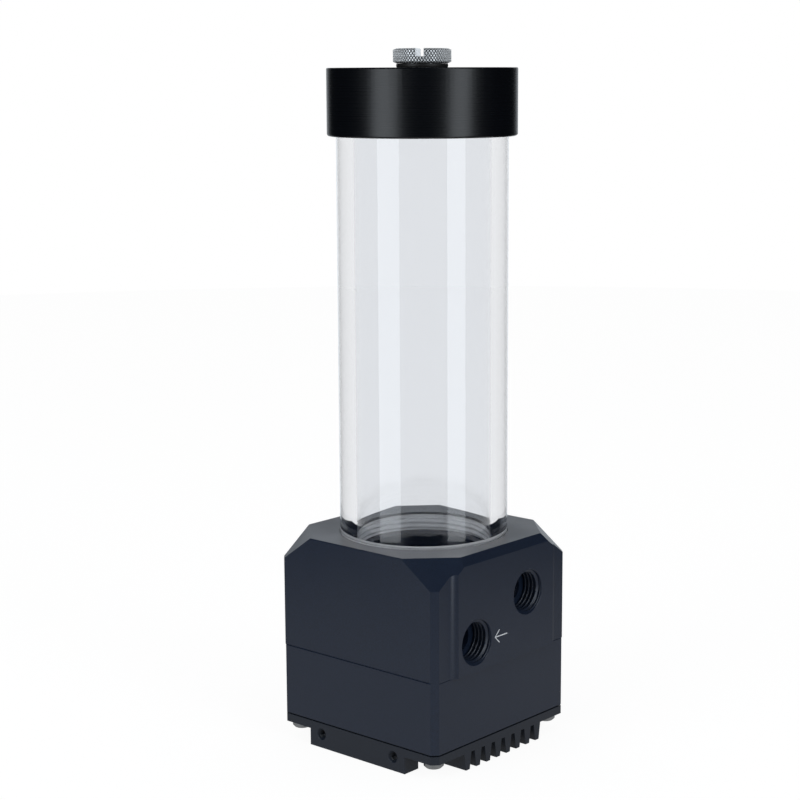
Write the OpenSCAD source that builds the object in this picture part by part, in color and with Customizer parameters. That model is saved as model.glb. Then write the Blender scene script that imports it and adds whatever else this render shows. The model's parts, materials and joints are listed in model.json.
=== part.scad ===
// Coolant pump reservoir: a clear tube screwed onto a square pump top, over a
// canned-rotor pump motor that stands on a finned base. Z is up and the origin
// is on the tube's axis, in the plane of the fin tips. The ports face +X.
// Screw threads are plain cylinders at the size the mating thread meets.

/* [Reservoir] */
// Outside diameter of the clear tube
tube_od = 50; // [48:0.5:50]
// Wall thickness of the clear tube
tube_wall = 5; // [4.5:0.1:5]
// Length of tube in view between the pump top and the cap
tube_view = 116.8; // [60:0.1:220]
// Diameter of the top cap
cap_d = 55.2; // [54:0.1:60]
// Height of the top cap
cap_h = 19.4; // [18:0.1:26]

/* [Pump top] */
// Width of the square pump top
top_w = 61; // [60:0.1:64]
// Height of the pump top
top_h = 34.4; // [34:0.1:40]
// Leg of the corner facets, along the upper edges
facet_leg = 12.7; // [8:0.1:14]
// Leg of the chamfer down each upright corner
corner_leg = 1.8; // [1:0.1:3]
// How far the port pad stands out of its side
pad_out = 1.5; // [0.5:0.1:2]
// Width of the port pad, without its side fillets
pad_w = 44; // [42:0.5:50]

/* [Ports] */
// Major diameter of the port threads
port_d = 13.16; // [12.9:0.01:13.3]
// Depth of the port threads
port_depth = 6.5; // [5:0.1:7]
// Place of the outlet along the side
outlet_y = -13.8; // [-15:0.1:-13]
// Height of the outlet above the motor housing
outlet_rise = 8.8; // [8:0.1:10]
// Place of the inlet along the side
inlet_y = 9.8; // [8:0.1:12]
// Height of the inlet above the motor housing
inlet_rise = 18.65; // [18.3:0.05:19.3]

/* [Motor housing and base] */
// Width of the motor housing and of the base
housing_w = 60.8; // [60:0.1:61]
// Height of the motor housing
housing_h = 21.2; // [21:0.1:24]
// Thickness of the base plate
plate_t = 2.5; // [2:0.1:4]
// Height of the cooling fins
fin_h = 5.1; // [5:0.1:10]
// Number of cooling fins
fin_count = 8; // [4:1:9]
// Distance from one fin to the next
fin_pitch = 4.66; // [3.6:0.01:5]
// Length of each mounting bar
bar_l = 37.6; // [34:0.1:44]
// Distance between the two screw holes of a mounting bar
bar_hole_gap = 28.5; // [20:0.5:30]

/* [Fill plug] */
// Diameter of the plug's knurled head
plug_d = 16.8; // [16:0.1:20]
// Height of the plug's head
plug_h = 4.25; // [3.5:0.05:6]
// Direction of the coin slot, from +X
slot_angle = 125.5; // [0:0.5:180]

/* [Hidden] */
$fn = 96;
eps = 0.01;
big = 120;

// Levels, from the fin tips up
z_plate = fin_h;
z_gasket = z_plate + plate_t;
gasket_t = 0.4;
z_housing = z_gasket + gasket_t;
z_seam = z_housing + housing_h;
z_top = z_seam + top_h;
z_cap = z_top + tube_view;
z_cap_top = z_cap + cap_h;

// Reservoir tube, its two threads and its O-rings
tube_r = tube_od / 2;
bore_r = tube_r - tube_wall;
thread_r = bore_r + 0.6;
thread_play = 0.05;
play = 0.2;
recess_r = tube_r + play;
recess_depth = 9.4;
z_recess = z_top - recess_depth;
boss_drop = 4.7;
boss_chamfer = 0.8;
well_r = bore_r - 2;
seal_r = (tube_r + thread_r) / 2;
groove_w = 2.2;
groove_depth = 1.3;
oring_t = 1.4;
touch_gap = 0.05;
z_tube = z_recess + oring_t - groove_depth + touch_gap;
z_ceiling = z_cap + 11.4;
z_tube_top = z_ceiling - (oring_t - groove_depth) - touch_gap;
lower_thread_l = 9;
upper_thread_l = 9.4;
spigot_l = 8;
spigot_bore_r = 16.5;
fill_port_l = 10;

// Pump chamber and motor
drill_r = 4;
chamber_h = 11;
chamber_r = 14.7;
scroll_r = drill_r - outlet_y;
scroll_step = (scroll_r - chamber_r) / 4;
z_well = z_seam + 14.4;
eye_r = 7;
flange_r = 22;
flange_t = 1.8;
housing_seal_r = 20.6;
can_r = 11.2;
can_wall = 0.8;
z_can = z_seam - 16.6;
can_floor = 1;
shaft_r = 1.5;
shaft_seat_h = 2;
shaft_seat_r = 3;
shaft_sink = 0.4;
shaft_drop = 0.8;
motor_bore_r = 20.8;
web_t = 1.4;
z_web = z_seam - flange_t - web_t;
core_h = 10;
z_core = z_can + 1.3;
core_r = motor_bore_r - 0.05;
core_bore_r = can_r + 0.5;
tooth_count = 6;
tooth_w = 4;
yoke_r = 17.8;
shoe_r = 13.4;
shoe_spread = 12.73;
insulator_t = 0.8;
coil_t = 1;
coil_side = 1.3;
board_t = 1.6;
board_r = 20;
z_board = z_can - 1.4 - board_t;
pad_t = 0.8;
chip_t = z_board - z_gasket - pad_t;
pin_r = 0.42;
pin_ring_r = 19.2;
pin_turn = 30;
thermal_pad_w = 26;
thermal_pad_d = 20;
chip_w = 8;
chip_x = 6.5;
hall_w = 3;
hall_at = 7.5;

// Rotor
magnet_r = 9.7;
magnet_h = 11;
z_magnet = z_core + 0.2;
stem_r = 6;
bush_r = 3;
bush_l = 5;
running = 0.05;
washer_t = 0.4;
lower_washer_r = 2.9;
upper_washer_r = 2.5;
z_stem = z_can + can_floor + shaft_seat_h + washer_t + 0.1;
disc_r = 13.6;
disc_t = 1.2;
z_disc = z_seam + 0.7;
blade_count = 6;
blade_h = 7.6;
blade_t = 1.2;
blade_arc_r = 8.5;
blade_arc_out = 7.6;
hub_r = 5.2;
support_h = 3;
z_hub_top = z_well - support_h - washer_t - 0.15;
hub_h = z_hub_top - z_disc - disc_t;
z_shaft = z_can + can_floor - shaft_sink + touch_gap;
z_shaft_top = z_well - shaft_drop;
spider_hub_r = 2.6;
spider_rim = 1.1;
spider_arm = 1;

// Base and fasteners
fin_root = 3.2;
fin_tip = 1.7;
fins_y = 0.4;
bar_depth = 6;
bar_hole_r = 1.5;
bar_hole_l = 5.5;
bar_hole_z = 4.2;
bar_sink = 0.3;
groove_line = 0.7;
seam_leg = 0.25;
screw_at = 26.25;
screw_r = 1.48;
screw_hole_r = 1.7;
screw_l = 35;
screw_tap_l = 13;
screw_head_r = 2.9;
screw_head_h = 2.1;
screw_edge = 0.6;
cross_l = 3;
cross_w = 0.8;
cross_depth = 1;
gland_z = z_housing + 7;
gland_r = 3.5;
gland_flange_r = 4.8;
gland_flange_t = 1;
gland_hole_r = 2.2;

// Fill plug
plug_seal_h = 1.1;
plug_seal_w = 1.95;
z_plug = z_cap_top + plug_seal_h + 2 * touch_gap;
plug_neck_r = 5.5;
plug_thread_l = 7.5;
slot_w = 2.4;
slot_depth = 2.3;

// ---- Shared shapes ----

// A square of width w with its corners cut off by legs of length leg
module cut_square(w, leg) {
  h = w / 2;
  polygon([[h - leg, -h], [h, leg - h], [h, h - leg], [h - leg, h],
    [leg - h, h], [-h, h - leg], [-h, leg - h], [leg - h, -h]]);
}

// Everything above a plane that slopes down at 45 degrees, away from the axis.
// The plane passes the height z at the distance out.
module slope_cut(out, z, angle) {
  rotate([0, 0, angle])
    translate([out, 0, z])
      rotate([0, 45, 0])
        translate([-big / 2, -big / 2, 0])
          cube([big, big, big]);
}

// Everything below a plane that slopes up at 45 degrees, away from the axis
module under_cut(out, z, angle) {
  translate([0, 0, 2 * z])
    mirror([0, 0, 1])
      slope_cut(out, z, angle);
}

// Breaks the four upper edges of a square block of width w, at the height z
module broken_edges(w, z, leg) {
  for (side = [0 : 3])
    slope_cut(w / 2 - leg, z, 90 * side);
}

// A straight tube from z, standing on its lower end
module pipe(r_out, r_in, h, z) {
  translate([0, 0, z])
    difference() {
      cylinder(r = r_out, h = h);
      translate([0, 0, -eps]) cylinder(r = r_in, h = h + 2 * eps);
    }
}

// An O-ring of the centre radius r, pressed flat to the height h
module pressed_oring(r, w, h, z) {
  translate([0, 0, z])
    rotate_extrude()
      translate([r, h / 2])
        intersection() {
          circle(d = w, $fn = 48);
          square([w, h], center = true);
        }
}

module at_corners(d) {
  for (x = [-d, d], y = [-d, d])
    translate([x, y, 0]) children();
}

// ---- Base ----

// One fin, thinner at its tip
module fin() {
  rotate([90, 0, 90])
    linear_extrude(height = housing_w, center = true)
      polygon([[-fin_tip / 2, 0], [fin_tip / 2, 0],
        [fin_root / 2, fin_h + eps], [-fin_root / 2, fin_h + eps]]);
}

// A bar with two screw holes in its outer side. side is -1 in front, 1 behind.
module mounting_bar(side) {
  y_out = side * housing_w / 2;
  difference() {
    translate([-bar_l / 2, min(y_out, y_out - side * bar_depth), 0])
      cube([bar_l, bar_depth, fin_h + plate_t]);
    for (x = [-bar_hole_gap / 2, bar_hole_gap / 2])
      translate([x, y_out - side * bar_hole_l, bar_hole_z])
        rotate([-90 * side, 0, 0]) {
          cylinder(r = bar_hole_r, h = bar_hole_l + 1);
          translate([0, 0, bar_hole_l - bar_sink])
            cylinder(r1 = bar_hole_r, r2 = bar_hole_r + 2 * bar_sink, h = 2 * bar_sink);
        }
  }
}

module heatsink_base() {
  color("#262b33") {
    difference() {
      translate([0, 0, z_plate])
        linear_extrude(height = plate_t)
          difference() {
            cut_square(housing_w, corner_leg);
            for (side = [-1, 1])
              translate([0, side * (housing_w - bar_depth) / 2])
                square([bar_l, bar_depth], center = true);
          }
      at_corners(screw_at)
        translate([0, 0, z_plate - 1]) cylinder(r = screw_hole_r, h = plate_t + 2);
    }
    for (side = [-1, 1])
      mounting_bar(side);
    for (i = [0 : fin_count - 1])
      translate([0, fins_y + (i - (fin_count - 1) / 2) * fin_pitch, 0]) fin();
  }
}

module base_gasket() {
  color("#101010")
    translate([0, 0, z_gasket])
      linear_extrude(height = gasket_t)
        difference() {
          cut_square(housing_w - 2 * groove_line, corner_leg);
          circle(r = motor_bore_r);
          at_corners(screw_at) circle(r = screw_hole_r);
        }
}

module thermal_pad() {
  color("#8a93a8")
    translate([-thermal_pad_w / 2, -thermal_pad_d / 2, z_gasket])
      cube([thermal_pad_w, thermal_pad_d, pad_t]);
}

// ---- Motor housing ----

module motor_housing() {
  color("#2b313a")
    difference() {
      translate([0, 0, z_housing])
        linear_extrude(height = housing_h) cut_square(housing_w, corner_leg);
      broken_edges(housing_w, z_seam, seam_leg);
      translate([0, 0, z_housing - 1]) cylinder(r = motor_bore_r, h = z_web - z_housing + 1);
      translate([0, 0, z_housing]) cylinder(r = can_r + play, h = housing_h + 1);
      translate([0, 0, z_seam - flange_t]) cylinder(r = flange_r + play, h = flange_t + 1);
      at_corners(screw_at)
        translate([0, 0, z_housing - 1]) cylinder(r = screw_hole_r, h = housing_h + 2);
      translate([0, 0, gland_z])
        rotate([-90, 0, 0]) {
          cylinder(r = gland_r, h = housing_w);
          translate([0, 0, housing_w / 2 - gland_flange_t])
            cylinder(r = gland_flange_r, h = gland_flange_t + 1);
        }
    }
}

// A rubber sleeve in the rear wall, where the motor's cable would leave
module cable_grommet() {
  sleeve_l = housing_w / 2 - motor_bore_r - gland_flange_t;
  color("#111111")
    translate([0, housing_w / 2, gland_z])
      rotate([90, 0, 0]) {
        pipe(gland_flange_r, gland_hole_r, gland_flange_t, 0);
        pipe(gland_r, gland_hole_r, sleeve_l - 1, gland_flange_t);
      }
}

// ---- Electronics ----

module circuit_board() {
  color("#1d5a34")
    translate([0, 0, z_board])
      linear_extrude(height = board_t)
        difference() {
          circle(r = board_r);
          translate([0, board_r]) square([9, 5], center = true);
          for (i = [0 : 2])
            rotate(120 * i + pin_turn)
              translate([pin_ring_r, 0]) circle(r = pin_r + 0.03, $fn = 16);
        }
}

// Two drivers on the board's lower side, on the thermal pad
module driver_chips() {
  color("#1b1b1d")
    for (x = [-chip_x, chip_x])
      translate([x - chip_w / 2, -chip_w / 2, z_board - chip_t])
        cube([chip_w, chip_w, chip_t]);
}

module hall_sensor() {
  color("#1b1b1d")
    translate([hall_at - hall_w / 2, -hall_w / 2, z_board + board_t])
      cube([hall_w, hall_w, 1]);
}

// Pins that take the winding ends down to the board
module winding_pins() {
  color("#c9b37a")
    for (i = [0 : 2])
      rotate([0, 0, 120 * i + pin_turn])
        translate([pin_ring_r, 0, z_board])
          cylinder(r = pin_r, h = z_core - insulator_t - z_board, $fn = 16);
}

// ---- Stator ----

// Ring with inward teeth and pole shoes
module stator_outline() {
  difference() {
    circle(r = core_r);
    circle(r = yoke_r);
  }
  difference() {
    union() {
      for (i = [0 : tooth_count - 1])
        rotate(360 / tooth_count * i)
          translate([core_bore_r - 1, -tooth_w / 2])
            square([yoke_r - core_bore_r + 2, tooth_w]);
      intersection() {
        circle(r = shoe_r);
        for (i = [0 : tooth_count - 1])
          rotate(360 / tooth_count * i)
            polygon([[0, 0], [2 * shoe_r, -shoe_spread], [2 * shoe_r, shoe_spread]]);
      }
    }
    circle(r = core_bore_r);
  }
}

module stator_core() {
  color("#9a9ca0")
    translate([0, 0, z_core])
      linear_extrude(height = core_h) stator_outline();
}

module end_insulator(z) {
  color("#e6e2d4")
    translate([0, 0, z])
      linear_extrude(height = insulator_t) stator_outline();
}

module lower_insulator() {
  end_insulator(z_core - insulator_t);
}

module upper_insulator() {
  end_insulator(z_core + core_h);
}

// A coil wound round each tooth, with a slot through it for the tooth
module stator_coils() {
  coil_l = yoke_r - shoe_r - 1;
  wide = tooth_w + 0.1;
  tall = core_h + 2 * insulator_t + 0.1;
  color("#b4662b")
    for (i = [0 : tooth_count - 1])
      rotate([0, 0, 360 / tooth_count * i])
        translate([shoe_r + 0.3, 0, z_core + core_h / 2])
          rotate([90, 0, 90])
            linear_extrude(height = coil_l)
              difference() {
                square([wide + 2 * coil_side, tall + 2 * coil_t], center = true);
                square([wide, tall], center = true);
              }
}

// ---- Rotor can, shaft and seals ----

// A thin cup that keeps the coolant off the stator, with a seat for the shaft
module rotor_can() {
  color("#17181a")
    translate([0, 0, z_can])
      difference() {
        union() {
          cylinder(r = can_r, h = z_seam - z_can);
          translate([0, 0, z_seam - flange_t - z_can]) cylinder(r = flange_r, h = flange_t);
        }
        difference() {
          translate([0, 0, can_floor]) cylinder(r = can_r - can_wall, h = big);
          cylinder(r = shaft_seat_r, h = can_floor + shaft_seat_h);
        }
        translate([0, 0, can_floor - shaft_sink]) cylinder(r = shaft_r + 0.01, h = big);
      }
}

module housing_oring() {
  color("#0c0c0c")
    pressed_oring(housing_seal_r, groove_w - 0.2, groove_depth - 0.02, z_seam + 0.01);
}

module rotor_shaft() {
  color("#efe9dc")
    translate([0, 0, z_shaft]) cylinder(r = shaft_r, h = z_shaft_top - z_shaft);
}

module lower_thrust_washer() {
  color("#f3f1ea")
    pipe(lower_washer_r, shaft_r + 0.03, washer_t, z_can + can_floor + shaft_seat_h + 0.01);
}

module upper_thrust_washer() {
  color("#f3f1ea")
    pipe(upper_washer_r, shaft_r + 0.03, washer_t, z_well - support_h - washer_t - 0.01);
}

// A spider in the pump's eye that holds the upper end of the shaft
module shaft_support() {
  color("#1c1d20")
    translate([0, 0, z_well - support_h])
      difference() {
        linear_extrude(height = support_h) {
          difference() {
            circle(r = eye_r - 0.02);
            circle(r = eye_r - spider_rim);
          }
          circle(r = spider_hub_r);
          for (i = [0 : 2])
            rotate(120 * i)
              translate([spider_hub_r - 0.5, -spider_arm / 2])
                square([eye_r - spider_hub_r - 0.2, spider_arm]);
        }
        translate([0, 0, -eps])
          cylinder(r = shaft_r + 0.01, h = z_shaft_top - z_well + support_h + 0.05);
      }
}

// ---- Rotor ----

// One blade: a piece of a ring whose centre lies off the axis, so that the
// blade trails behind as the impeller turns anticlockwise, seen from above
module blade() {
  intersection() {
    difference() {
      circle(r = disc_r - 0.2);
      circle(r = hub_r - 0.4);
    }
    translate([blade_arc_out, 0])
      difference() {
        circle(r = blade_arc_r + blade_t / 2);
        circle(r = blade_arc_r - blade_t / 2);
      }
    translate([-big / 2, 0]) square([big, big]);
  }
}

module impeller() {
  color("#e9e6df")
    difference() {
      union() {
        translate([0, 0, z_stem]) cylinder(r = stem_r - 0.02, h = z_disc - z_stem);
        translate([0, 0, z_disc]) cylinder(r = disc_r, h = disc_t);
        translate([0, 0, z_disc + disc_t]) cylinder(r1 = hub_r, r2 = hub_r - 1.2, h = hub_h);
        translate([0, 0, z_disc + disc_t])
          linear_extrude(height = blade_h)
            for (i = [0 : blade_count - 1])
              rotate(360 / blade_count * i) blade();
      }
      translate([0, 0, z_stem - 1]) cylinder(r = bush_r + 0.01, h = 1 + bush_l);
      translate([0, 0, z_stem]) cylinder(r = shaft_r + 0.4, h = big);
      translate([0, 0, z_hub_top - bush_l]) cylinder(r = bush_r + 0.01, h = bush_l + 1);
    }
}

module rotor_magnet() {
  color("#4a4c50")
    pipe(magnet_r, stem_r, magnet_h, z_magnet);
}

module bushing(z) {
  color("#3a3a3c")
    pipe(bush_r, shaft_r + running, bush_l, z);
}

module lower_bushing() {
  bushing(z_stem);
}

module upper_bushing() {
  bushing(z_hub_top - bush_l);
}

// ---- Pump top ----

// Quarter of a disc, in the quadrant given by the signs sx and sy
module quarter(r, centre, sx, sy) {
  translate(centre)
    intersection() {
      circle(r = r);
      mirror([sx < 0 ? 1 : 0, 0])
        mirror([0, sy < 0 ? 1 : 0])
          square([big, big]);
    }
}

// Scroll of four arcs that widens anticlockwise up to the outlet's tangent
module scroll_outline() {
  s = scroll_step;
  circle(r = chamber_r - 1);
  quarter(chamber_r, [0, 0], 1, -1);
  quarter(chamber_r + s, [-s, 0], 1, 1);
  quarter(chamber_r + 2 * s, [-s, -s], -1, 1);
  quarter(chamber_r + 3 * s, [0, -s], -1, -1);
}

// A port from the pad inwards: mouth chamfer, thread, then the drilled way in
module port_cut(y, rise, drill_end_x) {
  x_pad = top_w / 2 + pad_out;
  mouth = 0.2;
  translate([0, y, z_seam + rise])
    rotate([0, 90, 0]) {
      translate([0, 0, x_pad - port_depth]) cylinder(d = port_d, h = port_depth + 1);
      translate([0, 0, x_pad - mouth])
        cylinder(d1 = port_d, d2 = port_d + 4 * mouth, h = 2 * mouth);
      translate([0, 0, drill_end_x]) cylinder(r = drill_r, h = x_pad - drill_end_x);
    }
}

// Square outline with the port pad, whose sides end in concave fillets
module top_outline() {
  fillet_r = 3.4;
  fillet_w = sqrt(pow(fillet_r, 2) - pow(fillet_r - pad_out, 2));
  half = pad_w / 2 + fillet_w;
  difference() {
    union() {
      cut_square(top_w, corner_leg);
      translate([0, -half]) square([top_w / 2 + pad_out, 2 * half]);
    }
    for (side = [-1, 1])
      translate([top_w / 2 + fillet_r, side * half]) circle(r = fillet_r);
  }
}

module pump_top() {
  facet_out = (top_w - facet_leg) / sqrt(2);
  pad_bevel = 2.25;
  color("#2b313a")
    difference() {
      translate([0, 0, z_seam])
        linear_extrude(height = top_h) top_outline();
      for (corner = [0 : 3])
        slope_cut(facet_out, z_top, 45 + 90 * corner);
      slope_cut(top_w / 2 + pad_out - pad_bevel, z_top, 0);
      for (side = [1 : 3])
        slope_cut(top_w / 2 - seam_leg, z_top, 90 * side);
      for (side = [1 : 3])
        under_cut(top_w / 2 - seam_leg, z_seam, 90 * side);
      // Seat, thread boss and well of the reservoir tube
      difference() {
        translate([0, 0, z_recess]) cylinder(r = recess_r, h = big);
        translate([0, 0, z_recess - 1]) cylinder(r = thread_r, h = 1 + recess_depth - boss_drop);
      }
      translate([0, 0, z_well]) cylinder(r = well_r, h = big);
      translate([0, 0, z_top - boss_drop - boss_chamfer])
        cylinder(r1 = well_r, r2 = well_r + boss_chamfer + eps, h = boss_chamfer + eps);
      pipe(seal_r + groove_w / 2, seal_r - groove_w / 2, groove_depth + eps,
        z_recess - groove_depth);
      // Pump chamber, eye and seal groove, open to the motor
      translate([0, 0, z_seam - 1])
        linear_extrude(height = chamber_h + 1) scroll_outline();
      translate([0, 0, z_seam]) cylinder(r = eye_r, h = z_well - z_seam + 1);
      pipe(housing_seal_r + groove_w / 2, housing_seal_r - groove_w / 2,
        groove_depth + 1, z_seam - 1);
      port_cut(outlet_y, outlet_rise, 0);
      port_cut(inlet_y, inlet_rise, well_r - 6);
      at_corners(screw_at)
        translate([0, 0, z_seam - 1]) cylinder(r = screw_r + 0.02, h = screw_tap_l + 1);
    }
}

// Four long pan-head screws that clamp base, housing and pump top together
module corner_screws() {
  color("#c8cacc")
    at_corners(screw_at)
      difference() {
        union() {
          translate([0, 0, z_plate]) cylinder(r = screw_r, h = screw_l);
          translate([0, 0, z_plate - screw_head_h + screw_edge])
            cylinder(r = screw_head_r, h = screw_head_h - screw_edge);
          translate([0, 0, z_plate - screw_head_h])
            cylinder(r1 = screw_head_r - screw_edge, r2 = screw_head_r, h = screw_edge);
        }
        for (turn = [0, 90])
          rotate([0, 0, turn])
            translate([-cross_l / 2, -cross_w / 2, z_plate - screw_head_h - 1])
              cube([cross_l, cross_w, 1 + cross_depth]);
      }
}

// ---- Reservoir ----

module tube_oring() {
  color("#0c0c0c")
    pressed_oring(seal_r, groove_w - 0.2, oring_t, z_recess - groove_depth + 0.01);
}

module reservoir_tube() {
  color("#dfe6ea", 0.4)
    difference() {
      translate([0, 0, z_tube]) cylinder(r = tube_r, h = z_tube_top - z_tube);
      translate([0, 0, z_tube - 1]) cylinder(r = bore_r, h = big * 3);
      translate([0, 0, z_tube - 1])
        cylinder(r = thread_r + thread_play, h = lower_thread_l + 1);
      translate([0, 0, z_tube_top - upper_thread_l])
        cylinder(r = thread_r + thread_play, h = upper_thread_l + 1);
    }
}

module cap_oring() {
  color("#0c0c0c")
    pressed_oring(seal_r, groove_w - 0.2, oring_t, z_ceiling + groove_depth - oring_t - 0.01);
}

// Rounds the outer edge of a turned part: a square less a quarter disc
module corner_round(r) {
  difference() {
    square([r + 1, r + 1]);
    circle(r = r, $fn = 48);
  }
}

module top_cap() {
  low_round = 0.8;
  top_round = 0.4;
  cap_r = cap_d / 2;
  color("#141517")
    difference() {
      translate([0, 0, z_cap])
        rotate_extrude()
          difference() {
            square([cap_r, cap_h]);
            translate([cap_r - top_round, cap_h - top_round]) corner_round(top_round);
            translate([cap_r - low_round, low_round])
              mirror([0, 1]) corner_round(low_round);
          }
      // Socket round the tube, with the threaded spigot standing in it
      difference() {
        translate([0, 0, z_cap - 1]) cylinder(r = tube_r + 0.15, h = z_ceiling - z_cap + 1);
        translate([0, 0, z_ceiling - spigot_l]) cylinder(r = thread_r, h = big);
      }
      pipe(seal_r + groove_w / 2, seal_r - groove_w / 2, groove_depth + eps, z_ceiling - eps);
      translate([0, 0, z_cap - 1])
        cylinder(r = spigot_bore_r, h = z_cap_top - fill_port_l - z_cap + 1);
      // Filling port
      translate([0, 0, z_cap]) cylinder(d = port_d, h = big);
    }
}

// ---- Fill plug ----

module fill_plug_oring() {
  color("#0c0c0c")
    pressed_oring(plug_neck_r + 0.05 + plug_seal_w / 2, plug_seal_w, plug_seal_h,
      z_cap_top + touch_gap);
}

// Half outline of the plug: head with rounded edges, neck and threaded shank
module plug_outline() {
  plug_r = plug_d / 2;
  round_r = 0.7;
  thread_shank_r = port_d / 2 - running;
  z_thread_top = z_cap_top - 0.2;
  difference() {
    translate([0, z_plug]) square([plug_r, plug_h]);
    translate([plug_r - round_r, z_plug + plug_h - round_r]) corner_round(round_r);
    translate([plug_r - round_r, z_plug + round_r]) mirror([0, 1]) corner_round(round_r);
  }
  translate([0, z_thread_top - 1]) square([plug_neck_r, z_plug - z_thread_top + 1.5]);
  translate([0, z_thread_top - plug_thread_l]) square([thread_shank_r, plug_thread_l]);
}

module fill_plug() {
  color("#b9bcc0")
    difference() {
      rotate_extrude() plug_outline();
      rotate([0, 0, slot_angle])
        translate([-plug_d, -slot_w / 2, z_plug + plug_h - slot_depth])
          cube([2 * plug_d, slot_w, slot_depth + 1]);
    }
}

// ---- Model ----

heatsink_base();
base_gasket();
thermal_pad();
motor_housing();
cable_grommet();
circuit_board();
driver_chips();
hall_sensor();
winding_pins();
stator_core();
lower_insulator();
upper_insulator();
stator_coils();
rotor_can();
housing_oring();
rotor_shaft();
lower_thrust_washer();
upper_thrust_washer();
impeller();
rotor_magnet();
lower_bushing();
upper_bushing();
shaft_support();
pump_top();
corner_screws();
tube_oring();
reservoir_tube();
cap_oring();
top_cap();
fill_plug_oring();
fill_plug();
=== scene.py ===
import json
import math

import bmesh
import bpy
import numpy as np
from mathutils import Matrix, Vector


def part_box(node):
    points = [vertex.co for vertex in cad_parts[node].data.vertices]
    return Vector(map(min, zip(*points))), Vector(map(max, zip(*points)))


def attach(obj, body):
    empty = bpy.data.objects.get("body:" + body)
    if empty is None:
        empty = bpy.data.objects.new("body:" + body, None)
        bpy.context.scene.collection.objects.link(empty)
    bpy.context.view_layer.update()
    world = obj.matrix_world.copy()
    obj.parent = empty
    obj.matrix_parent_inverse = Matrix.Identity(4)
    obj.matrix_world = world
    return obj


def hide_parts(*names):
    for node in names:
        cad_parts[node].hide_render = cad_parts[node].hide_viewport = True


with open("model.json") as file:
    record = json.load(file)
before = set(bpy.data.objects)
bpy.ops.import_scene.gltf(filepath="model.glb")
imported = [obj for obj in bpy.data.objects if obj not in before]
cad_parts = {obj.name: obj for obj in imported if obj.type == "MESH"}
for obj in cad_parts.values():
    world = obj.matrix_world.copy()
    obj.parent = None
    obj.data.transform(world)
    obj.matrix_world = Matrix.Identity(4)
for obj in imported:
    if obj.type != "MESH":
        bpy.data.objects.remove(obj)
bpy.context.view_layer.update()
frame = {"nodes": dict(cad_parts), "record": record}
NODES = frame["nodes"]
MM = 0.001
TURN = 2 * math.pi


# ---------------------------------------------------------------- camera

CAM_YAW = math.radians(40.97)
CAM_PITCH = math.radians(9.75)
CAM_ROLL = math.radians(-0.20)
CAM_DISTANCE = 0.55024
CAM_TARGET = Vector((0, 0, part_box("pump_top")[1].z + 0.04178))

forward = Vector((-math.sin(CAM_YAW) * math.cos(CAM_PITCH),
                  math.cos(CAM_YAW) * math.cos(CAM_PITCH),
                  -math.sin(CAM_PITCH)))
right = Vector((math.cos(CAM_YAW), math.sin(CAM_YAW), 0))
camera_data = bpy.data.cameras.new("camera")
camera_data.lens = 83.68
camera_data.sensor_width = 36
camera_data.shift_x = -0.0291
camera_data.shift_y = -0.0107
camera = bpy.data.objects.new("camera", camera_data)
up = right.cross(forward)
turned = Matrix((right, up, -forward)).transposed()
camera.matrix_world = (Matrix.Translation(CAM_TARGET - forward * CAM_DISTANCE)
                       @ turned.to_4x4() @ Matrix.Rotation(CAM_ROLL, 4, "Z"))
bpy.context.scene.collection.objects.link(camera)
bpy.context.scene.camera = camera


# ------------------------------------------------------------- materials

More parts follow.
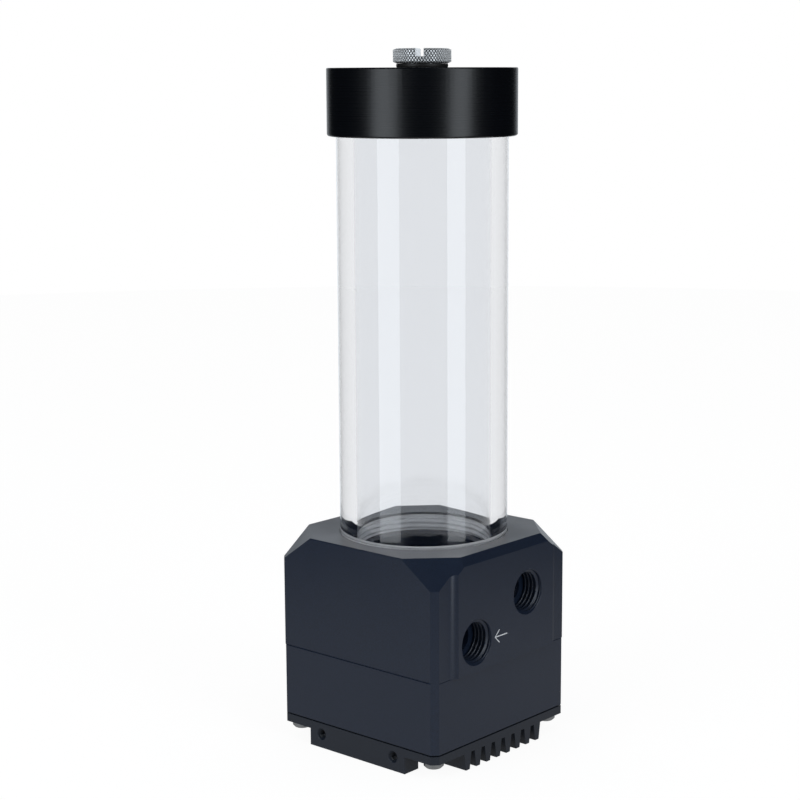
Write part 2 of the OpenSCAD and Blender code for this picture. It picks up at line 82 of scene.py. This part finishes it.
class Material:
    """A node material round one Principled shader, in object coordinates (metres)."""

    def __init__(self, name, colour, roughness, metallic=0.0, ior=1.5, specular=0.5):
        self.material = bpy.data.materials.new(name)
        self.material.use_nodes = True
        self.tree = self.material.node_tree
        self.shader = self.tree.nodes["Principled BSDF"]
        self.set("Base Color", (*colour, 1))
        self.set("Roughness", roughness)
        self.set("Metallic", metallic)
        self.set("IOR", ior)
        self.set("Specular IOR Level", specular)
        self.place = self.node("ShaderNodeTexCoord").outputs["Object"]
        self.normal = None

    def set(self, socket, value):
        self.shader.inputs[socket].default_value = value

    def node(self, kind, **values):
        made = self.tree.nodes.new(kind)
        for key, value in values.items():
            setattr(made, key, value)
        return made

    def link(self, a, b):
        self.tree.links.new(a, b)

    def math(self, operation, a, b=None):
        made = self.node("ShaderNodeMath", operation=operation)
        for socket, value in zip(made.inputs, (a, b)):
            if value is None:
                continue
            if isinstance(value, (int, float)):
                socket.default_value = value
            else:
                self.link(value, socket)
        return made.outputs[0]

    def stretched(self, scale):
        made = self.node("ShaderNodeMapping")
        made.inputs["Scale"].default_value = scale
        self.link(self.place, made.inputs["Vector"])
        return made.outputs[0]

    def noise(self, scale, detail=2.0, place=None, roughness=0.5):
        made = self.node("ShaderNodeTexNoise")
        made.inputs["Scale"].default_value = scale
        made.inputs["Detail"].default_value = detail
        made.inputs["Roughness"].default_value = roughness
        self.link(place or self.place, made.inputs["Vector"])
        return made.outputs["Fac"]

    def spread(self, value, low, high, start=0.3, end=0.7):
        made = self.node("ShaderNodeMapRange")
        made.inputs["From Min"].default_value = start
        made.inputs["From Max"].default_value = end
        made.inputs["To Min"].default_value = low
        made.inputs["To Max"].default_value = high
        self.link(value, made.inputs["Value"])
        return made.outputs[0]

    def bump(self, height, distance, strength=1.0):
        made = self.node("ShaderNodeBump")
        made.inputs["Strength"].default_value = strength
        made.inputs["Distance"].default_value = distance
        self.link(height, made.inputs["Height"])
        if self.normal:
            self.link(self.normal, made.inputs["Normal"])
        self.normal = made.outputs["Normal"]
        self.link(self.normal, self.shader.inputs["Normal"])
        return self

    def vary_roughness(self, value, low, high):
        self.link(self.spread(value, low, high), self.shader.inputs["Roughness"])
        return self

    def vary_colour(self, value, low, high):
        made = self.node("ShaderNodeMix", data_type="RGBA")
        made.inputs["A"].default_value = (*low, 1)
        made.inputs["B"].default_value = (*high, 1)
        self.link(self.spread(value, 0, 1), made.inputs["Factor"])
        self.link(made.outputs["Result"], self.shader.inputs["Base Color"])
        return self

    def radius(self):
        """Distance from the part's axis."""
        split = self.node("ShaderNodeSeparateXYZ")
        self.link(self.place, split.inputs[0])
        square = self.math("ADD", self.math("MULTIPLY", split.outputs[0], split.outputs[0]),
                           self.math("MULTIPLY", split.outputs[1], split.outputs[1]))
        return self.math("SQRT", square)

    def height(self):
        split = self.node("ShaderNodeSeparateXYZ")
        self.link(self.place, split.inputs[0])
        return split.outputs[2]

    def lines(self, along, pitch):
        """Fine random lines across a direction given by a value in metres."""
        made = self.node("ShaderNodeTexNoise", noise_dimensions="1D")
        made.inputs["Scale"].default_value = 1
        made.inputs["Detail"].default_value = 3
        self.link(self.math("MULTIPLY", along, 1 / pitch), made.inputs["W"])
        return made.outputs["Fac"]

    def waves(self, along, pitch):
        """A regular wave from 0 to 1 with the given pitch."""
        wave = self.math("SINE", self.math("MULTIPLY", along, TURN / pitch))
        return self.math("MULTIPLY_ADD", wave, 0.5)


def anodised(name, colour, rough):
    m = Material(name, colour, rough, ior=1.55)
    grain = m.noise(2600, 3)
    cloud = m.noise(45, 3)
    m.vary_roughness(cloud, rough - 0.04, rough + 0.05)
    m.vary_colour(grain, tuple(c * 0.8 for c in colour), tuple(c * 1.25 for c in colour))
    milled = m.noise(1, 3, m.stretched((60, 60, 3200)))
    m.bump(milled, 0.000004, 0.35)
    m.bump(grain, 0.000006, 0.5)
    return m.material


def turned_black(name):
    colour = (0.0006, 0.0013, 0.0030)
    m = Material(name, colour, 0.3, ior=1.5)
    grain = m.noise(3000, 2)
    cut = m.lines(m.math("ADD", m.radius(), m.height()), 0.00012)
    m.vary_roughness(cut, 0.26, 0.34)
    m.bump(cut, 0.000004, 0.4)
    m.bump(grain, 0.000004, 0.4)
    return m.material


def clear_acrylic():
    m = Material("clear_acrylic", (0.875, 0.888, 0.908), 0.0, ior=1.49)
    m.set("Transmission Weight", 1.0)
    wobble = m.noise(60, 1)
    m.bump(wobble, 0.00003, 0.25)
    return m.material


def cut_acrylic():
    """The machined threads and ends of the tube, which the cutter leaves frosted."""
    m = Material("cut_acrylic", (0.90, 0.925, 0.96), 0.2, ior=1.49)
    m.set("Transmission Weight", 0.2)
    m.bump(m.lines(m.height(), 0.00009), 0.00002, 0.8)
    return m.material


def metal(name, colour, rough):
    m = Material(name, colour, rough, metallic=1.0)
    grain = m.noise(1800, 3)
    m.vary_roughness(m.noise(160, 3), max(rough - 0.06, 0.05), rough + 0.08)
    m.vary_colour(m.noise(300, 2), tuple(c * 0.92 for c in colour), colour)
    m.bump(grain, 0.000004, 0.4)
    return m.material


def nickel_with_painted_valley_shade():
    """Nickel plate, with painted shade that darkens the valleys of the plug's knurl."""
    m = Material("nickel", (0.93, 0.96, 1.0), 0.24, metallic=0.35)
    m.vary_roughness(m.noise(160, 3), 0.2, 0.3)
    valley = m.math("SUBTRACT", m.radius(), KNURL_R - KNURL_DEPTH)
    crest = m.math("DIVIDE", valley, KNURL_DEPTH)
    inside = m.math("LESS_THAN", m.radius(), KNURL_R - 1.3 * KNURL_DEPTH)
    # Painted shade: the colour runs from near black in the knurl's valleys to the nickel colour
    # on its crests.
    m.vary_colour(m.math("MAXIMUM", crest, inside), (0.03, 0.035, 0.045), (0.95, 0.98, 1.0))
    m.bump(m.noise(1800, 3), 0.000004, 0.4)
    return m.material


def moulded(name, colour, rough, scale=1400, depth=0.00001, specular=0.5):
    m = Material(name, colour, rough, specular=specular)
    m.vary_roughness(m.noise(120, 3), rough - 0.06, rough + 0.08)
    m.vary_colour(m.noise(scale / 4, 3), tuple(c * 0.86 for c in colour), colour)
    m.bump(m.noise(scale, 2), depth, 0.5)
    return m.material


def laminated(name):
    m = Material(name, (0.34, 0.35, 0.36), 0.38, metallic=1.0)
    sheet = m.waves(m.height(), 0.00035)
    m.vary_colour(sheet, (0.12, 0.12, 0.13), (0.36, 0.37, 0.38))
    m.bump(sheet, 0.00005, 0.6)
    m.bump(m.noise(1500, 3), 0.000008, 0.5)
    return m.material


def wound(name):
    m = Material(name, (0.45, 0.14, 0.045), 0.3, metallic=1.0)
    wire = m.waves(m.radius(), 0.00042)
    m.vary_colour(wire, (0.16, 0.04, 0.012), (0.52, 0.17, 0.055))
    m.bump(wire, 0.00012, 0.9)
    return m.material


def board(name):
    m = Material(name, (0.012, 0.1, 0.035), 0.4)
    cell = m.node("ShaderNodeTexVoronoi", feature="DISTANCE_TO_EDGE", distance="MANHATTAN")
    cell.inputs["Scale"].default_value = 420
    m.link(m.place, cell.inputs["Vector"])
    track = m.spread(cell.outputs["Distance"], 1, 0, 0.08, 0.16)
    m.vary_colour(track, (0.010, 0.075, 0.028), (0.025, 0.17, 0.06))
    m.bump(track, 0.00003, 0.6)
    return m.material


KNURL_R = 8.4 * MM
KNURL_DEPTH = 0.5 * MM
SLOT_MATERIAL = {
    "block_anodised": anodised("block_anodised", (0.0088, 0.0160, 0.0345), 0.36),
    "base_anodised": anodised("base_anodised", (0.0070, 0.0120, 0.0230), 0.38),
    "cap_anodised": turned_black("cap_anodised"),
    "clear_acrylic": clear_acrylic(),
    "nickel": nickel_with_painted_valley_shade(),
    "screw_steel": metal("screw_steel", (0.40, 0.41, 0.42), 0.3),
    "black_rubber": moulded("black_rubber", (0.012, 0.012, 0.012), 0.5, 2600),
    "grey_silicone": moulded("grey_silicone", (0.25, 0.28, 0.36), 0.8, 900, 0.00003),
    "board_green": board("board_green"),
    "chip_black": moulded("chip_black", (0.012, 0.012, 0.013), 0.55, 3200),
    "tinned_brass": metal("tinned_brass", (0.6, 0.48, 0.22), 0.25),
    "laminated_steel": laminated("laminated_steel"),
    "insulator_nylon": moulded("insulator_nylon", (0.78, 0.74, 0.62), 0.45),
    "copper_enamel": wound("copper_enamel"),
    "can_plastic": moulded("can_plastic", (0.015, 0.015, 0.017), 0.42),
    "ceramic": moulded("ceramic", (0.86, 0.83, 0.76), 0.16, 3000, 0.000003),
    "impeller_white": moulded("impeller_white", (0.8, 0.78, 0.73), 0.4),
    "magnet_grey": moulded("magnet_grey", (0.07, 0.07, 0.08), 0.6, 2400, 0.00002),
    "bush_carbon": moulded("bush_carbon", (0.03, 0.03, 0.032), 0.35, 3000),
}
MARK_WHITE = moulded("mark_white", (0.7, 0.72, 0.75), 0.6, 2600)

slot_of = {row["node"]: row["material_slot"] for row in frame["record"]["subparts"]}


# ------------------------------------------------------------ mesh tools

def add_piece(name, mesh, body, slot=None, material=None, replaces=(), level=False):
    """Links a mesh as a piece that rides on a CAD body."""
    piece = bpy.data.objects.new(name, mesh)
    bpy.context.scene.collection.objects.link(piece)
    mesh.materials.clear()
    mesh.materials.append(material or SLOT_MATERIAL[slot])
    if level:
        flat = piece.modifiers.new("level", "WEIGHTED_NORMAL")
        flat.keep_sharp = True
        flat.weight = 100
    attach(piece, body)
    if replaces:
        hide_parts(*replaces)
    return piece


def shade(mesh, angle=35):
    """Smooth shading, with edges above the angle kept sharp."""
    mesh.shade_smooth()
    mesh.set_sharp_from_angle(angle=math.radians(angle))


def ring_mesh(name, radius, height, closed=True):
    """A turned mesh from rows of radii and heights, one column for each step round the axis.

    A closed one is a ring whose last row joins its first, and another is a solid
    that its first and last rows end with a flat face.
    """
    rows, columns = radius.shape
    angle = np.arange(columns) * TURN / columns
    points = np.stack([radius * np.cos(angle), radius * np.sin(angle), height], axis=-1)
    faces = []
    for i in range(rows if closed else rows - 1):
        a, b = i * columns, (i + 1) % rows * columns
        for j in range(columns):
            k = (j + 1) % columns
            faces.append((a + j, a + k, b + k, b + j))
    if not closed:
        faces.append(tuple(reversed(range(columns))))
        faces.append(tuple(range((rows - 1) * columns, rows * columns)))
    mesh = bpy.data.meshes.new(name)
    mesh.from_pydata(points.reshape(-1, 3).tolist(), [], faces)
    made = bmesh.new()
    made.from_mesh(mesh)
    bmesh.ops.recalc_face_normals(made, faces=made.faces)
    made.to_mesh(mesh)
    made.free()
    return mesh


def thread_rows(valley, crest, pitch, z_low, z_high, columns, fade_low, fade_high):
    """Rows of a right-hand thread's wall between two heights, its ends fading out."""
    steps = max(2, round((z_high - z_low) / pitch * 12))
    z = np.linspace(z_low, z_high, steps + 1)[:, None]
    turn = np.arange(columns)[None, :] / columns
    phase = np.abs(2 * np.mod(z / pitch - turn, 1) - 1)
    form = np.clip(1.45 - 1.9 * phase, 0, 1)
    fade = np.ones_like(z)
    if fade_low:
        fade = fade * np.clip((z - z_low) / fade_low, 0, 1)
    if fade_high:
        fade = fade * np.clip((z_high - z) / fade_high, 0, 1)
    return valley + (crest - valley) * form * fade, np.broadcast_to(z, form.shape).copy()


def flat_rows(columns, *points):
    """Rows of plain circles, one for each (radius, height)."""
    radius = np.array([[p[0]] * columns for p in points])
    height = np.array([[p[1]] * columns for p in points])
    return radius, height


def stack(*parts):
    return np.vstack([p[0] for p in parts]), np.vstack([p[1] for p in parts])


def thread_ring(name, valley, crest, back, pitch, z_low, z_high, body, slot,
                columns=128, fade_low=0.0, fade_high=0.0, place=None):
    """A thin ring that carries a thread and is backed into the CAD wall at radius back."""
    wall = thread_rows(valley, crest, pitch, z_low, z_high, columns, fade_low, fade_high)
    rest = flat_rows(columns, (back, z_high), (back, z_low))
    radius, height = stack(wall, rest)
    mesh = ring_mesh(name, radius, height)
    if place is not None:
        mesh.transform(place)
    shade(mesh, 50)
    return add_piece(name, mesh, body, slot)


def copied(node, bevel, angle=28, segments=2, change=None):
    """A CAD node's mesh with its edges broken, for a piece that stands for it."""
    made = bmesh.new()
    made.from_mesh(NODES[node].data)
    bmesh.ops.remove_doubles(made, verts=made.verts, dist=2e-6)
    if change:
        change(made)
    bmesh.ops.dissolve_limit(made, angle_limit=math.radians(0.6), use_dissolve_boundaries=False,
                             verts=made.verts, edges=made.edges, delimit={"NORMAL"})
    sharp = [e for e in made.edges
             if len(e.link_faces) == 2 and e.calc_face_angle(0) > math.radians(angle)]
    bmesh.ops.bevel(made, geom=sharp, offset=bevel, offset_type="OFFSET", segments=segments,
                    profile=0.6, affect="EDGES", clamp_overlap=True)
    mesh = bpy.data.meshes.new(node + "_edges")
    made.to_mesh(mesh)
    made.free()
    shade(mesh, 32)
    return mesh


# ------------------------------------------------------------ CAD nodes

for name, node in NODES.items():
    node.data.materials.clear()
    node.data.materials.append(SLOT_MATERIAL[slot_of[name]])
    shade(node.data, 30)


# ------------------------------------------------- pump, housing and base

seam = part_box("pump_top")[0].z
block_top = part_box("pump_top")[1].z
pad_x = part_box("pump_top")[1].x
tube_low, tube_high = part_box("reservoir_tube")
cap_low, cap_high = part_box("top_cap")

M42_PITCH = 1.5 * MM
M42_CREST = 20.28 * MM
M42_VALLEY = 20.93 * MM
BOSS_R = 20.6 * MM
G14_PITCH = 1.337 * MM
G14_MAJOR = 6.578 * MM
G14_MINOR = 5.76 * MM
boss_top = block_top - 4.7 * MM
recess_floor = block_top - 9.4 * MM


def slim(made, z_from, z_to):
    """Draws the wall that carries an outside thread in to the thread's root."""
    for v in made.verts:
        out = math.hypot(v.co.x, v.co.y)
        if z_from < v.co.z < z_to and abs(out - BOSS_R) < 0.05 * MM:
            v.co.x *= (M42_CREST - 0.06 * MM) / out
            v.co.y *= (M42_CREST - 0.06 * MM) / out


pump_mesh = copied("pump_top", 0.16 * MM,
                   change=lambda m: slim(m, recess_floor - MM, boss_top + MM))
add_piece("pump_top_block", pump_mesh, "pump", "block_anodised", replaces=["pump_top"],
          level=True)
thread_ring("boss_thread", M42_CREST - 0.05 * MM, M42_VALLEY - 0.06 * MM, 19.6 * MM, M42_PITCH,
            recess_floor + 0.2 * MM, boss_top - 0.1 * MM, "pump", "block_anodised",
            fade_low=0.6 * MM, fade_high=0.8 * MM)

PORTS = {"outlet": (-13.8 * MM, 8.8 * MM), "inlet": (9.8 * MM, 18.65 * MM)}
for name, (y, up_by) in PORTS.items():
    place = Matrix.Translation((pad_x, y, seam + up_by)) @ Matrix.Rotation(TURN / 4, 4, "Y")
    thread_ring(name + "_thread", G14_MAJOR - 0.01 * MM, G14_MINOR, G14_MAJOR + 0.25 * MM,
                G14_PITCH, -6.45 * MM, -0.45 * MM, "pump", "block_anodised", columns=96,
                fade_low=0.1 * MM, fade_high=0.7 * MM, place=place)

add_piece("motor_housing_block", copied("motor_housing", 0.14 * MM), "pump",
          "block_anodised", replaces=["motor_housing"], level=True)
add_piece("heatsink_block", copied("heatsink_base", 0.14 * MM), "pump",
          "base_anodised", replaces=["heatsink_base"], level=True)

M3_MAJOR, M3_MINOR, M3_PITCH = 1.5 * MM, 1.25 * MM, 0.5 * MM
BAR_HOLE_X, BAR_HOLE_Z = 14.25 * MM, 4.2 * MM
bar_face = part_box("heatsink_base")[1].y
for side, end in ((-1, "front"), (1, "rear")):
    for x, hand in ((-BAR_HOLE_X, "left"), (BAR_HOLE_X, "right")):
        place = (Matrix.Translation((x, side * bar_face, BAR_HOLE_Z))
                 @ Matrix.Rotation(-side * TURN / 4, 4, "X"))
        thread_ring(f"bar_thread_{end}_{hand}", M3_MAJOR - 0.01 * MM, M3_MINOR,
                    M3_MAJOR + 0.15 * MM, M3_PITCH, -5.4 * MM, -0.35 * MM, "pump",
                    "base_anodised", columns=48, fade_low=0.1 * MM, fade_high=0.3 * MM,
                    place=place)


# ------------------------------------------------------------- reservoir

COLUMNS = 192
z0, z1 = tube_low.z, tube_high.z
tube_r = tube_high.x
bore = 20.0 * MM
break_edge = 0.25 * MM
radius, height = stack(
    flat_rows(COLUMNS, (tube_r - break_edge, z0), (tube_r, z0 + break_edge),
              (tube_r, z1 - break_edge), (tube_r - break_edge, z1), (M42_VALLEY + 0.1 * MM, z1)),
    tuple(a[::-1] for a in thread_rows(M42_VALLEY, M42_CREST, M42_PITCH, z1 - 9.2 * MM,
                                       z1 - 0.3 * MM, COLUMNS, 0.8 * MM, 0.8 * MM)),
    flat_rows(COLUMNS, (bore, z1 - 9.6 * MM), (bore, z0 + 9.4 * MM)),
    tuple(a[::-1] for a in thread_rows(M42_VALLEY, M42_CREST, M42_PITCH, z0 + 0.3 * MM,
                                       z0 + 9.0 * MM, COLUMNS, 0.8 * MM, 0.8 * MM)),
    flat_rows(COLUMNS, (M42_VALLEY + 0.1 * MM, z0)))
tube_mesh = ring_mesh("tube", radius, height)
shade(tube_mesh, 40)
add_piece("clear_tube", tube_mesh, "reservoir", "clear_acrylic", replaces=["reservoir_tube"])

FROSTED_LOW = 9.2 * MM
FROSTED_HIGH = 9.4 * MM
END_FACE = 0.2 * MM
tube_mesh.materials.append(cut_acrylic())
for face in tube_mesh.polygons:
    z = face.center.z
    cut = z < z0 + FROSTED_LOW or z > z1 - FROSTED_HIGH
    end = z < z0 + END_FACE or z > z1 - END_FACE
    if end or cut and math.hypot(face.center.x, face.center.y) < M42_VALLEY + 0.2 * MM:
        face.material_index = 1


# ---------------------------------------------------------- cap and plug

spigot_low = cap_low.z + 3.4 * MM
spigot_high = cap_low.z + 11.4 * MM
cap_mesh = copied("top_cap", 0.12 * MM, angle=40,
                  change=lambda m: slim(m, spigot_low - MM, spigot_high + MM))
add_piece("cap_body", cap_mesh, "cap", "cap_anodised", replaces=["top_cap"], level=True)
thread_ring("spigot_thread", M42_CREST - 0.05 * MM, M42_VALLEY - 0.06 * MM, 19.6 * MM, M42_PITCH,
            spigot_low + 0.2 * MM, spigot_high - 0.1 * MM, "cap", "cap_anodised",
            fade_low=0.8 * MM, fade_high=0.6 * MM)
thread_ring("fill_port_thread", G14_MAJOR - 0.01 * MM, G14_MINOR + 0.06 * MM,
            G14_MAJOR + 0.2 * MM, G14_PITCH, cap_high.z - 9.8 * MM, cap_high.z - 0.4 * MM,
            "cap", "cap_anodised", columns=96, fade_low=0.4 * MM, fade_high=0.6 * MM)

plug_low, plug_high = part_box("fill_plug")
PLUG_H = 4.25 * MM
KNURLS = 58
KNURL_ROWS = 3
KNURL_SLOPE = 1.5
KNURL_FLAT = 0.7
HEAD_ROUND = 0.25 * MM
head_low = plug_high.z - PLUG_H
knurl_z = np.linspace(head_low + 0.2 * MM, plug_high.z - 0.2 * MM, 33)[:, None]
columns = KNURLS * 8
around = np.arange(columns)[None, :] / columns * KNURLS
along = (knurl_z - knurl_z[0]) / (knurl_z[-1] - knurl_z[0]) * KNURL_ROWS
left = np.abs(2 * np.mod(around + along, 1) - 1)
right_cut = np.abs(2 * np.mod(around - along, 1) - 1)
knurl = np.clip(KNURL_SLOPE * np.minimum(1 - left, 1 - right_cut), 0, KNURL_FLAT)
edge = np.clip(np.minimum(knurl_z - knurl_z[0], knurl_z[-1] - knurl_z) / (0.4 * MM), 0, 1)
dome = (1 - np.sqrt(1 - (1 - edge) ** 2)) * HEAD_ROUND
knurl_r = KNURL_R - KNURL_DEPTH * (1 - knurl / KNURL_FLAT * np.minimum(1, 0.4 + edge)) - dome
shank_low = plug_low.z
thread = thread_rows(G14_MINOR + 0.02 * MM, G14_MAJOR - 0.07 * MM, G14_PITCH,
                     shank_low + 0.3 * MM, shank_low + 7.3 * MM, columns, 0.5 * MM, 0.5 * MM)
radius, height = stack(
    flat_rows(columns, (4.9 * MM, shank_low), (5.6 * MM, shank_low + 0.2 * MM)),
    thread,
    flat_rows(columns, (5.5 * MM, shank_low + 7.5 * MM), (5.5 * MM, head_low),
              (KNURL_R - 1.1 * MM, head_low), (KNURL_R - 0.85 * MM, head_low + 0.08 * MM)),
    (knurl_r, np.broadcast_to(knurl_z, knurl_r.shape)),
    flat_rows(columns, (KNURL_R - 0.85 * MM, plug_high.z - 0.08 * MM),
              (KNURL_R - 1.1 * MM, plug_high.z)))
plug_mesh = ring_mesh("plug", radius, height, closed=False)


def box_cutter(size, place):
    mesh = bpy.data.meshes.new("cutter")
    made = bmesh.new()
    bmesh.ops.create_cube(made, size=1)
    bmesh.ops.scale(made, vec=size, verts=made.verts)
    bmesh.ops.transform(made, matrix=place, verts=made.verts)
    made.to_mesh(mesh)
    made.free()
    cutter = bpy.data.objects.new("cutter", mesh)
    bpy.context.scene.collection.objects.link(cutter)
    return cutter


def cut_away(mesh, cutter):
    """The mesh less the cutter, which goes."""
    holder = bpy.data.objects.new("holder", mesh)
    bpy.context.scene.collection.objects.link(holder)
    made = holder.modifiers.new("cut", "BOOLEAN")
    made.object = cutter
    made.solver = "EXACT"
    bpy.context.view_layer.update()
    result = bpy.data.meshes.new_from_object(
        holder.evaluated_get(bpy.context.evaluated_depsgraph_get()))
    bpy.data.objects.remove(holder)
    bpy.data.objects.remove(cutter)
    return result


SLOT_WIDTH = 2.4 * MM
SLOT_DEPTH = 2.3 * MM
SLOT_TURN = math.radians(125.5)
slot_cutter = box_cutter((20 * MM, SLOT_WIDTH, 2 * SLOT_DEPTH),
                         Matrix.Translation((0, 0, plug_high.z))
                         @ Matrix.Rotation(SLOT_TURN, 4, "Z"))
plug_mesh = cut_away(plug_mesh, slot_cutter)
shade(plug_mesh, 28)
add_piece("knurled_plug", plug_mesh, "plug", "nickel", replaces=["fill_plug"])


# -------------------------------------------------------------- flow mark

def ribbon(points, width, lift):
    """A flat painted line in the YZ plane of the port pad, with a little thickness."""
    made = bmesh.new()
    p = [Vector(q) for q in points]
    sides = []
    for i, q in enumerate(p):
        d = (p[min(i + 1, len(p) - 1)] - p[max(i - 1, 0)]).normalized()
        n = Vector((-d.y, d.x)) * width / 2
        sides.append((q + n, q - n))
    layers = []
    for x in (pad_x - 0.02 * MM, pad_x + lift):
        layers.append([(made.verts.new((x, a.x, a.y)), made.verts.new((x, b.x, b.y)))
                       for a, b in sides])
    low, top = layers
    for i in range(len(p) - 1):
        made.faces.new((top[i][0], top[i][1], top[i + 1][1], top[i + 1][0]))
        made.faces.new((low[i][0], low[i + 1][0], low[i + 1][1], low[i][1]))
        for s in (0, 1):
            made.faces.new((low[i][s], top[i][s], top[i + 1][s], low[i + 1][s]))
    for i in (0, len(p) - 1):
        made.faces.new((low[i][0], low[i][1], top[i][1], top[i][0]))
    bmesh.ops.recalc_face_normals(made, faces=made.faces)
    return made


MARK_Y, MARK_Z = -2.2 * MM, seam + 8.4 * MM
strokes = [
    [(MARK_Y + 2.2 * MM, MARK_Z), (MARK_Y - 3.2 * MM, MARK_Z)],
    [(MARK_Y - 1.4 * MM, MARK_Z + 1.9 * MM), (MARK_Y - 3.4 * MM, MARK_Z),
     (MARK_Y - 1.4 * MM, MARK_Z - 1.9 * MM)],
]
mark_mesh = bpy.data.meshes.new("flow_mark")
whole = bmesh.new()
for stroke in strokes:
    piece = ribbon(stroke, 0.32 * MM, 0.02 * MM)
    part = bpy.data.meshes.new("stroke")
    piece.to_mesh(part)
    piece.free()
    whole.from_mesh(part)
    bpy.data.meshes.remove(part)
whole.to_mesh(mark_mesh)
whole.free()
add_piece("flow_arrow", mark_mesh, "pump", material=MARK_WHITE)


# ------------------------------------------------------- floor and lights

def light_path(tree):
    """1 for the rays that see the background, and 1 for those among them that are reflections."""
    path = tree.nodes.new("ShaderNodeLightPath")
    total = path.outputs["Is Camera Ray"]
    for name in ("Is Glossy Ray", "Is Transmission Ray"):
        add = tree.nodes.new("ShaderNodeMath")
        add.operation = "MAXIMUM"
        tree.links.new(total, add.inputs[0])
        tree.links.new(path.outputs[name], add.inputs[1])
        total = add.outputs[0]
    mirrored = tree.nodes.new("ShaderNodeMath")
    mirrored.operation = "SUBTRACT"
    mirrored.use_clamp = True
    tree.links.new(path.outputs["Is Glossy Ray"], mirrored.inputs[0])
    tree.links.new(path.outputs["Is Transmission Ray"], mirrored.inputs[1])
    return total, mirrored.outputs[0]


FLOOR_SEEN = 1.09
FLOOR_IN_GLOSS = 0.36
FLOOR_SHARE = 0.85
FLOOR_NEAR_R = 0.24
FLOOR_R = 1.2
STUDIO_TINT = (0.88, 0.94, 1.0)


def floor_ring(name, inner, outer, in_gloss):
    """A flat ring of floor; only the near one shows in glossy surfaces."""
    mesh = bpy.data.meshes.new(name)
    count = 96
    corners = [(r * math.cos(i * TURN / count), r * math.sin(i * TURN / count), 0)
               for r in (inner, outer) for i in range(count)]
    faces = [(i, count + i, count + (i + 1) % count, (i + 1) % count) for i in range(count)]
    if inner == 0:
        corners, faces = corners[count:], [tuple(range(count))]
    mesh.from_pydata(corners, [], faces)
    ring = bpy.data.objects.new(name, mesh)
    ring.location.z = -0.00002
    ring.visible_glossy = in_gloss
    bpy.context.scene.collection.objects.link(ring)
    return mesh


floor_near = floor_ring("floor_near", 0, FLOOR_NEAR_R, True)
floor_far = floor_ring("floor_far", FLOOR_NEAR_R, FLOOR_R, False)
floor_material = bpy.data.materials.new("floor")
floor_material.use_nodes = True
tree = floor_material.node_tree
shader = tree.nodes["Principled BSDF"]
shader.inputs["Base Color"].default_value = (0.8, 0.8, 0.8, 1)
shader.inputs["Roughness"].default_value = 0.9
shader.inputs["Specular IOR Level"].default_value = 0.0
glow = tree.nodes.new("ShaderNodeEmission")
mix = tree.nodes.new("ShaderNodeMixShader")
seen, mirrored = light_path(tree)
strength = tree.nodes.new("ShaderNodeMix")
strength.inputs["A"].default_value = FLOOR_SEEN
strength.inputs["B"].default_value = FLOOR_IN_GLOSS
tree.links.new(mirrored, strength.inputs["Factor"])
tree.links.new(strength.outputs["Result"], glow.inputs["Strength"])
share = tree.nodes.new("ShaderNodeMath")
share.operation = "MULTIPLY"
share.inputs[1].default_value = FLOOR_SHARE
tree.links.new(seen, share.inputs[0])
tree.links.new(share.outputs[0], mix.inputs[0])
tree.links.new(shader.outputs[0], mix.inputs[1])
tree.links.new(glow.outputs[0], mix.inputs[2])
tree.links.new(mix.outputs[0], tree.nodes["Material Output"].inputs["Surface"])
for mesh in (floor_near, floor_far):
    mesh.materials.append(floor_material)

world = bpy.data.worlds.new("studio")
bpy.context.scene.world = world
world.use_nodes = True
tree = world.node_tree
background = tree.nodes["Background"]
background.inputs["Color"].default_value = (1, 1, 1, 1)
seen, mirrored = light_path(tree)
coord = tree.nodes.new("ShaderNodeTexCoord")
dot = tree.nodes.new("ShaderNodeVectorMath")
dot.operation = "DOT_PRODUCT"
dot.inputs[1].default_value = (-math.sin(CAM_YAW), math.cos(CAM_YAW), 0)
tree.links.new(coord.outputs["Generated"], dot.inputs[0])
# Reflections see a white wall behind the part and a nearly black studio elsewhere.
wall = tree.nodes.new("ShaderNodeMapRange")
wall.interpolation_type = "SMOOTHSTEP"
wall.inputs["From Min"].default_value = 0.84
wall.inputs["From Max"].default_value = 0.97
wall.inputs["To Min"].default_value = 0.012
wall.inputs["To Max"].default_value = 1.0
tree.links.new(dot.outputs["Value"], wall.inputs["Value"])
AMBIENT = 0.45
pick_glossy = tree.nodes.new("ShaderNodeMix")
pick_glossy.inputs["A"].default_value = 1.0
tree.links.new(mirrored, pick_glossy.inputs["Factor"])
tree.links.new(wall.outputs[0], pick_glossy.inputs["B"])
pick_seen = tree.nodes.new("ShaderNodeMix")
pick_seen.inputs["A"].default_value = AMBIENT
tree.links.new(seen, pick_seen.inputs["Factor"])
tree.links.new(pick_glossy.outputs["Result"], pick_seen.inputs["B"])
tree.links.new(pick_seen.outputs["Result"], background.inputs["Strength"])


tint = tree.nodes.new("ShaderNodeMix")
tint.data_type = "RGBA"
tint.inputs[6].default_value = (1, 1, 1, 1)
tint.inputs[7].default_value = (*STUDIO_TINT, 1)
tree.links.new(mirrored, tint.inputs[0])
tree.links.new(tint.outputs[2], background.inputs["Color"])


def softbox(name, angle, distance, centre_z, width, tall, power):
    """An upright area light that faces the part, at an angle from the camera's side."""
    a = CAM_YAW + math.radians(angle)
    data = bpy.data.lights.new(name, "AREA")
    data.shape = "RECTANGLE"
    data.size = width
    data.size_y = tall
    data.energy = power
    lamp = bpy.data.objects.new(name, data)
    lamp.location = (math.sin(a) * distance, -math.cos(a) * distance, centre_z)
    aim = Vector((0, 0, 0.11)) - lamp.location
    lamp.rotation_euler = aim.to_track_quat("-Z", "Y").to_euler()
    lamp.visible_camera = False
    data.color = STUDIO_TINT
    lamp.visible_transmission = False
    bpy.context.scene.collection.objects.link(lamp)


softbox("softbox_left", -46, 1.1, 0.11, 0.6, 1.9, 9.4)
softbox("softbox_right", 45, 1.1, 0.11, 0.5, 1.9, 8.2)

bpy.context.scene.view_settings.view_transform = "Standard"
